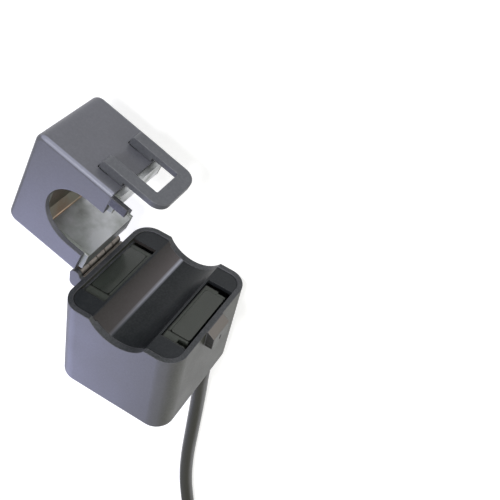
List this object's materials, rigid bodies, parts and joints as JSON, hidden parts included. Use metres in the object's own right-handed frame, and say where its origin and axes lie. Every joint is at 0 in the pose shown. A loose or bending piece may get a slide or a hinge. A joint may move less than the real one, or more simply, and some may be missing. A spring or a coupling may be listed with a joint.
{
  "type": "split-core current transformer",
  "caption": "Clip-on current transformer: black box with a half-round trough and a hinged cap swung open, steel cores, latch loop and a round output cable.",
  "frame": {"origin": "on the axis of the conductor window, in the plane of the base's back face, on which the part lies", "axes": "+Z along the conductor window from the back face to the front, +Y from the base towards the closed cap's place, +X from the hinge side to the latch side"},
  "size_m": [0.1007, 0.3424, 0.0485],
  "materials": {
    "housing_black": "satin",
    "deck_black": "satin",
    "latch_black": "satin",
    "frame_black": "satin",
    "core_steel": "satin",
    "spacer_grey": "satin",
    "foam_dark": "matte",
    "bobbin_natural": "satin",
    "copper_wire": "gloss",
    "amber_tape": "gloss",
    "sleeve_black": "satin",
    "lead_black_pvc": "gloss",
    "lead_white_pvc": "gloss",
    "hinge_steel": "satin",
    "bush_rubber": "matte",
    "cable_jacket": "satin",
    "tie_black": "satin",
    "ferrule_tin": "gloss"
  },
  "bodies": {
    "base": {"base_shell": "housing_black", "base_deck": "deck_black", "pole_frame_hinge": "frame_black", "pole_frame_latch": "frame_black", "lower_core": "core_steel", "bobbin_rear_half": "bobbin_natural", "bobbin_front_half": "bobbin_natural", "secondary_winding": "copper_wire", "winding_tape": "amber_tape", "splice_sleeves": "sleeve_black", "lead_black": "lead_black_pvc", "lead_white": "lead_white_pvc", "hinge_leaf_base": "hinge_steel", "hinge_pin": "hinge_steel", "hinge_rivets_base": "hinge_steel", "cable_bush": "bush_rubber", "output_cable": "cable_jacket", "cable_coil": "cable_jacket", "cable_tail": "cable_jacket", "cable_tie": "tie_black", "lead_end_black": "lead_black_pvc", "lead_end_white": "lead_white_pvc", "lead_ferrules": "ferrule_tin"},
    "cap": {"cap_shell": "housing_black", "upper_core": "core_steel", "core_spacer_rear": "spacer_grey", "core_spacer_front": "spacer_grey", "pressure_pad": "foam_dark", "hinge_leaf_cap": "hinge_steel", "hinge_rivets_cap": "hinge_steel"},
    "latch": {"latch_bail": "latch_black"}
  },
  "joints": [
    {"name": "cap_hinge", "type": "hinge", "parent": "base", "child": "cap", "pos_m": [-0.0253, -0.0065, 0.02425], "axis": [0, 0, 1], "range_deg": [-73.3, 16.5]},
    {"name": "latch_flex", "type": "hinge", "parent": "cap", "child": "latch", "pos_m": [-0.01949, 0.04104, 0.02425], "axis": [0, 0, 1], "range_deg": [0, 12], "stiffness_Nm_per_rad": 0.02}
  ]
}
